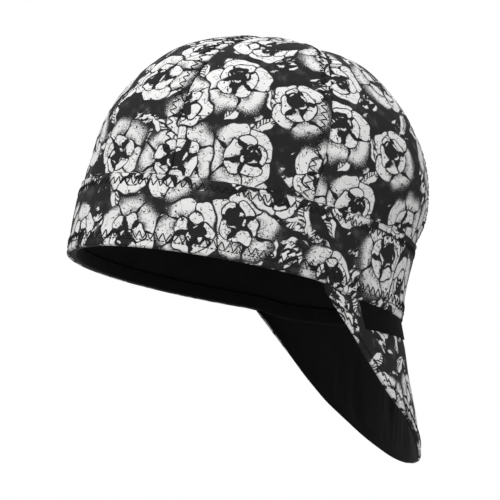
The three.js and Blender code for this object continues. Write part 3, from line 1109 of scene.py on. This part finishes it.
class CAP_OT_linings(Operator):
    """Build the black lining of the crown and the facing inside the rim"""

    bl_idname = "cap.linings"
    bl_label = "Crown lining and facing"

    def execute(self, context):
        columns = 300
        around = np.arange(columns) / columns * len(PANELS)
        index, across = np.floor(around).astype(int), around % 1
        ways = np.linspace(way_at(LAYERS_START), APEX, 96)
        turn = np.empty((columns, len(ways)))
        swell = np.empty_like(turn)
        for i in range(columns):
            turn[i] = panel_turn(index[i], across[i], ways)
            swell[i] = puff(across[i], ways)
        way = np.broadcast_to(ways, turn.shape)
        point, normal = dome(turn, way), dome_normal(turn, way)

        def at(depth):
            return point + normal * (swell - depth)[..., None]

        ring = np.concatenate((at(LINING_DEPTH), at(LINING_DEPTH)[:1]))
        u, v = lengths(ring, 0), np.broadcast_to(lengths(ring, 1)[0], (columns + 1, len(ways)))
        from_seam = np.minimum(across, 1 - across)[:, None] * u[-1] / len(PANELS)
        folds = 0.7 * bell(from_seam, 0, 2.2) * smoothstep(u[-1] / len(PANELS), 10, 40)
        folds = folds + 0.5 * ripple(u[:-1], v[:-1], 48.0, 9) * smoothstep(v[:-1], 12.0, 30.0)
        folds = np.maximum(folds, -0.6)
        flat = turned(np.stack((u, v), -1), LINING_LAY)
        # The crown's lining takes the lightened copy of the lining finish: painted light inside the
        # crown
        lining = add_cloth(
            "lining_cloth",
            at(LINING_DEPTH),
            at(LINING_DEPTH + LINING_CLOTH + folds * smoothstep(v[:-1], 8.0, 20.0)),
            flat,
            finish_of("crown_lining"),
            ring=True,
        )
        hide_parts("crown_lining")

        # The facing stands inside the rim and turns out under it
        top = LAYERS_START + HEM_HEIGHT
        inside = [
            (mix(INNER_DEPTH, FACING_DEPTH + 0.3, smoothstep(height, top - 3.2, top)), height)
            for height in np.linspace(top - 0.3, 1.8, 14)
        ]
        outside = [(FACING_DEPTH, height) for height in np.linspace(1.6, top - 0.4, 8)]
        over = [(FACING_DEPTH + 0.05, top - 0.12), (FACING_DEPTH + 0.15, top)]
        profile = np.array(inside + list(FACING_UNDERSIDE) + outside + over)
        turns = np.linspace(BACK, BACK_AGAIN, 361)
        run = lengths(wall_point(turns, 5.0, INNER_DEPTH), 0)
        depth, height = profile[None, :, 0], profile[None, :, 1]
        place = run[:-1, None]
        wave = puckers(place, (place, height), 5.2, 2, 30, 7)
        stand = 0.14 * wave * (depth > FACING_DEPTH + 0.4) * smoothstep(height, 1.5, 4.0)
        # Its underside hangs lower along the flap and round the cap's right side
        from_front = np.abs(turns[:-1, None] - 270.0)
        lower = 0.65 * smoothstep(from_front, 110.0, 115.0)
        lower = np.maximum(lower, 0.45 * smoothstep(262.0 - turns[:-1, None], 0.0, 25.0))
        lower = lower * (1 - smoothstep(height, 1.1, 3.0))
        grid = wall_point(turns[:-1, None], height - lower, depth + stand)
        flat = ring_flat(run, profile, FACING_LAY)
        facing = add_ring("facing_cloth", grid, flat, finish_of("lining"))
        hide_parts("rim_facing")
        return {"FINISHED"}


# ---- the flap


class FlapCut:
    """The flap's cloth and the run of its free edge."""

    def __init__(self):
        self.shares = np.linspace(-1, 1, 241)
        self.length = flap_length(self.shares)
        edge = flap_face(self.shares, 1.0)
        self.edge_run = lengths(edge, 0)

    def relief(self, across, down):
        relief = bpy.context.scene.cap_relief
        length = np.interp(across, self.shares, self.length)
        fall = down * length
        u = across * FLAP_HALF
        swell = 1.5 * relief.swell * ripple(u, fall, 44.0, 12) * smoothstep(fall, 2.0, 18.0)
        hem = 0.3 * (1 - smoothstep(length - fall, 8.5, 11.0))
        wave = puckers(u, (u, fall), 6.2, 2, 30.0, 13)
        pucker = relief.pucker * 1.2 * wave * np.exp(-fall / 6.0)
        calm = smoothstep(length - fall, 0.0, 6.0) * smoothstep(1 - np.abs(across), 0.0, 0.06)
        return (swell + pucker + hem) * calm

    def from_edge(self, run, distance, stand):
        """A point by the length along the free edge and the distance in from it."""
        across = np.interp(run, self.edge_run, self.shares)
        length = np.interp(across, self.shares, self.length)
        down = 1 - distance / length
        return flap_point(across, down, -self.relief(across, down) - stand)


class CAP_OT_flap(Operator):
    """Build the printed flap and its black lining"""

    bl_idname = "cap.flap"
    bl_label = "Flap and flap lining"

    def execute(self, context):
        cut = FlapCut()
        across = np.linspace(-1, 1, 241)[:, None]
        length = flap_length(across)
        shares = graded(84, 80.0, 0.7)[None]
        down = mix(-0.9 / length, 1 + 0.3 / length, shares)
        from_edge = (1 + 0.3 / length - down) * length
        edge = rounded(from_edge, 0.75)
        outer = flap_point(across, down, edge - cut.relief(across, down))
        inner = flap_point(across, down, 1.5 - 0.7 * (from_edge < 0.05))
        flat = self.laid_flat(across[:, 0], shares[0])
        lay = turned(flat, FLAP_LAY)
        piece = add_cloth("printed_flap", outer, inner, lay, finish_of("printed_cotton"))
        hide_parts("flap")
        self.declare(piece, flat, "printed_band")

        down = mix(-0.2 / length, 1 - 0.1 / length, shares)
        place, fall = across * FLAP_HALF, down * length
        from_edge = (1 - down) * length - 0.1
        folds = 1.6 * ripple(place + fall * 0.4, fall * 0.35, 34.0, 16)
        folds = folds + 0.45 * ripple(place * 1.3 + fall * 0.5, fall * 0.3, 11.0, 17)
        folds = folds * smoothstep(fall, 2.0, 22.0) * smoothstep(from_edge, 2.0, 16.0)
        upper = flap_point(across, down, np.full(down.shape, FLAP_LINING_BACK))
        edge = rounded(from_edge, 0.9)
        lower = flap_point(across, down, FLAP_LINING_FACE + np.maximum(folds, -0.8) - edge)
        lay = turned(flat, FLAP_LINING_LAY)
        lining = add_cloth("flap_lining_cloth", upper, lower, lay, finish_of("lining"))
        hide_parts("flap_lining")
        self.declare(lining, flat, "printed_flap")
        return {"FINISHED"}

    def laid_flat(self, across, shares):
        """The flap's own flat coordinates for a grid of places."""
        lines = unrolled(flap_face(across, 0.0), flap_face(across, 1.0))
        return lines[:, None, 0] + (lines[:, 1] - lines[:, 0])[:, None] * shares[None, :, None]

    def declare(self, piece, flat, carrier):
        """Works out the cut's area from the flap laid flat; the area is not kept."""
        first, second = flat[1:, -1] - flat[:-1, 0], flat[1:, 0] - flat[:-1, -1]
        area = 0.5 * np.abs(first[:, 0] * second[:, 1] - first[:, 1] * second[:, 0]).sum()


# ---- the label


class CAP_OT_label(Operator):
    """Build the bare woven label that hangs from the rim seam over the flap"""

    bl_idname = "cap.label"
    bl_label = "Label"

    def execute(self, context):
        forward = LABEL_TURN / FLAP_SPREAD
        per_share = np.linalg.norm(flap_face(forward, 0.0) - flap_face(forward - 0.1, 0.0)) / 0.1
        rearward = forward - LABEL_LENGTH / per_share
        shares, downs = graded(90, LABEL_LENGTH, 0.4), graded(40, LABEL_HEIGHT, 0.4)
        share, down = np.meshgrid(shares, downs, indexing="ij")
        across = mix(forward, rearward, share)
        length = flap_length(across)
        hang = mix(LABEL_HEIGHT + LABEL_FRONT_MORE, LABEL_HEIGHT - LABEL_REAR_LESS, share)
        along, fall = share * LABEL_LENGTH, down * hang
        border = rounded(np.minimum(along, LABEL_LENGTH - along), LABEL_HALF)
        border = np.maximum(border, rounded(hang - fall, LABEL_HALF))
        border = np.maximum(border, rounded(fall, LABEL_HALF))
        lift = 0.12 * smoothstep(fall, 2.0, hang) + 0.14 * ripple(along, fall, 24.0, 31)
        lift = lift * smoothstep(fall, 0.0, 5.0) + 0.05
        place = (fall - 0.3) / length
        outer = flap_point(across, place, -CLEARANCE - 2 * LABEL_HALF - lift + border)
        inner = flap_point(across, place, -CLEARANCE - lift - border)
        flat = np.stack((along, fall), -1)
        piece = add_cloth("woven_label", outer, inner, flat, finish_of("label"))
        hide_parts("label")
        return {"FINISHED"}


# ---- the stitching


class CAP_OT_stitching(Operator):
    """Sew the zigzag and straight stitches along the band, the seams and the flap"""

    bl_idname = "cap.stitching"
    bl_label = "Stitching"

    def sew(self, name, surface, ends):
        settings = bpy.context.scene.cap_stitching
        paths, normals = stitch_lines(surface, ends, settings.thread_radius)
        add_thread(
            name, paths, normals, settings.thread_radius, settings.sides, finish_of("thread")
        )

    def execute(self, context):
        settings = context.scene.cap_stitching
        band = BandCut()
        start, end = 4.0, band.total - 4.0
        pitch = settings.band_pitch
        self.sew(
            "stitches_band_top",
            band.point,
            zigzag(start, end, pitch, *BAND_TOP_ROW, BAND_WOBBLE, 101),
        )
        self.sew(
            "stitches_band_foot",
            band.point,
            zigzag(start, end, pitch * 1.08, *BAND_FOOT_ROW, BAND_WOBBLE, 102),
        )
        self.sew(
            "stitches_band_line",
            band.point,
            straight(start, end, 2.3, BAND_LINE, LINE_WOBBLE, 103),
        )
        for index, (place, _, _) in enumerate(PANELS):
            cut = PanelCut(index)
            low = float(np.interp(way_at(BAND_HEIGHT), cut.ways, cut.rise)) + 1.5
            high = float(np.interp(12.0, cut.width[::-1], cut.rise[::-1]))
            self.sew(
                "stitches_seam_after_" + place,
                cut.from_seam,
                zigzag(low, high, settings.seam_pitch, *SEAM_ROW, SEAM_WOBBLE, 110 + index),
            )
        flap = FlapCut()
        last = float(flap.edge_run[-1]) - 9.0
        ends = zigzag(9.0, last, settings.seam_pitch, *FLAP_ROW, SEAM_WOBBLE, 120)
        across = np.interp(ends[..., 0], flap.edge_run, flap.shares)
        room = np.interp(across, flap.shares, flap.length)
        ends = ends[(room > 10.5).all(axis=1)]
        self.sew("stitches_flap_edge", flap.from_edge, ends)
        turns = np.linspace(BACK, BACK_AGAIN, 361)
        run = lengths(wall_point(turns, 8.0, INNER_DEPTH), 0)

        def inside(place, height, stand):
            return wall_point(np.interp(place, run, turns), height, INNER_DEPTH + 0.05 + stand)

        self.sew(
            "stitches_facing",
            inside,
            straight(1.0, float(run[-1]) - 1.0, 2.4, FACING_LINE, LINE_WOBBLE, 130),
        )
        return {"FINISHED"}


# ---- the stage


class CAP_OT_stage(Operator):
    """Set up the camera, the soft lights and the pale floor"""

    bl_idname = "cap.stage"
    bl_label = "Stage"

    def execute(self, context):
        settings = context.scene.cap_stage
        turn, rise, roll = (x * DEGREE for x in (CAMERA_TURN, CAMERA_RISE, CAMERA_ROLL))
        away = Vector(
            (math.cos(turn) * math.cos(rise), -math.sin(turn) * math.cos(rise), math.sin(rise))
        )
        right = Vector((math.sin(turn), math.cos(turn), 0))
        up = right.cross(-away)
        lens = bpy.data.cameras.new("camera")
        lens.lens, lens.sensor_width = settings.lens, 36.0
        lens.shift_x, lens.shift_y = CAMERA_SHIFT
        lens.clip_start, lens.clip_end = 0.05, 50
        camera = bpy.data.objects.new("camera", lens)
        axes = Matrix(
            (
                right * math.cos(roll) - up * math.sin(roll),
                right * math.sin(roll) + up * math.cos(roll),
                away,
            )
        ).transposed()
        camera.matrix_world = Matrix.Translation(away * CAMERA_AWAY) @ axes.to_4x4()
        context.collection.objects.link(camera)
        context.scene.camera = camera

        for name, near, across, high, size in LAMPS:
            place = away * near + right * across + Vector((0, 0, high))
            self.light(name, place, size, getattr(settings, name))

        floor = bpy.data.meshes.new("floor")
        corners = [
            (math.cos(a) * FLOOR_REACH, math.sin(a) * FLOOR_REACH, settings.floor)
            for a in np.linspace(0, 2 * math.pi, 65)[:-1]
        ]
        floor.from_pydata(corners, [], [list(range(len(corners)))])
        web = Web("pale floor")
        place = web.node("ShaderNodeTexCoord").outputs["Object"]
        shade = web.noise(place, 1.7, 1.0, space="3D")
        floor.materials.append(
            web.finish(
                base_color=web.colour(shade, (0.8, 0.8, 0.8, 1.0), (0.84, 0.84, 0.84, 1.0)),
                roughness=0.9,
                specular_ior_level=0.2,
                emission_color=(1.0, 1.0, 1.0, 1.0),
                emission_strength=settings.floor_glow,
            )
        )
        ground = bpy.data.objects.new("floor", floor)
        ground.visible_diffuse = False
        context.collection.objects.link(ground)

        self.backdrop(context, settings)
        world = bpy.data.worlds.new("pale surround")
        world.use_nodes = True
        sky = world.node_tree.nodes["Background"]
        sky.inputs["Color"].default_value = (1.0, 1.0, 1.0, 1.0)
        sky.inputs["Strength"].default_value = settings.sky
        context.scene.world = world
        context.scene.view_settings.view_transform = "Standard"
        return {"FINISHED"}

    def backdrop(self, context, settings):
        """A white bowl behind everything, which sheds no light on the cap."""
        mesh = bpy.data.meshes.new("backdrop")
        rows, columns = 12, 48
        points = []
        for row in range(rows + 1):
            rise = mix(-0.06, math.pi / 2 - 0.02, row / rows)
            for column in range(columns):
                turn = 2 * math.pi * column / columns
                reach = BOWL_REACH * math.cos(rise)
                height = settings.floor + BOWL_REACH * math.sin(rise)
                points.append((reach * math.cos(turn), reach * math.sin(turn), height))
        index = np.arange((rows + 1) * columns).reshape(rows + 1, columns).T
        index = np.concatenate((index, index[:1]))
        faces, _ = quads(index, np.zeros((*index.shape, 2)))
        mesh.from_pydata(points, [], faces.tolist())
        material = bpy.data.materials.new("white backdrop")
        material.use_nodes = True
        tree = material.node_tree
        tree.nodes.clear()
        glow = tree.nodes.new("ShaderNodeEmission")
        glow.inputs["Strength"].default_value = settings.backdrop
        ending = tree.nodes.new("ShaderNodeOutputMaterial")
        tree.links.new(glow.outputs[0], ending.inputs["Surface"])
        mesh.materials.append(material)
        bowl = bpy.data.objects.new("backdrop", mesh)
        bowl.visible_diffuse = bowl.visible_glossy = bowl.visible_shadow = False
        bowl.visible_transmission = False
        context.collection.objects.link(bowl)

    def light(self, name, place, size, power):
        """A square soft lamp that looks at the cap."""
        lamp = bpy.data.lights.new(name, "AREA")
        lamp.size, lamp.energy = size, power
        holder = bpy.data.objects.new(name, lamp)
        aim = Vector((0, 0, 0.05)) - place
        turned_to = aim.to_track_quat("-Z", "Y").to_matrix().to_4x4()
        holder.matrix_world = Matrix.Translation(place) @ turned_to
        bpy.context.collection.objects.link(holder)


# ---- the sidebar and the run


class CAP_PT_sidebar(Panel):
    bl_label = "Welding cap"
    bl_idname = "CAP_PT_sidebar"
    bl_space_type = "VIEW_3D"
    bl_region_type = "UI"
    bl_category = "Cap"

    def draw(self, context):
        for name, label in SETTINGS:
            box = self.layout.box()
            box.label(text=label)
            group = getattr(context.scene, name)
            for key in group.__annotations__:
                box.prop(group, key)
        for step in STEPS:
            self.layout.operator(step.bl_idname)


SETTINGS = (
    ("cap_relief", "Cloth relief"),
    ("cap_finish", "Print and cloth"),
    ("cap_stitching", "Stitching"),
    ("cap_stage", "Stage"),
)
GROUPS = (CapRelief, CapFinish, CapStitching, CapStage)
STEPS = (
    CAP_OT_stage,
    CAP_OT_crown_panels,
    CAP_OT_band,
    CAP_OT_linings,
    CAP_OT_flap,
    CAP_OT_label,
    CAP_OT_stitching,
)


def register():
    for made in (*GROUPS, *STEPS, CAP_PT_sidebar):
        bpy.utils.register_class(made)
    for (name, _), group in zip(SETTINGS, GROUPS):
        setattr(bpy.types.Scene, name, PointerProperty(type=group))


def unregister():
    for name, _ in SETTINGS:
        delattr(bpy.types.Scene, name)
    for made in (CAP_PT_sidebar, *reversed(STEPS), *reversed(GROUPS)):
        bpy.utils.unregister_class(made)


def main():
    register()
    bpy.ops.cap.stage()
    bpy.ops.cap.crown_panels()
    bpy.ops.cap.band()
    bpy.ops.cap.linings()
    bpy.ops.cap.flap()
    bpy.ops.cap.label()
    bpy.ops.cap.stitching()


if __name__ == "__main__":
    main()
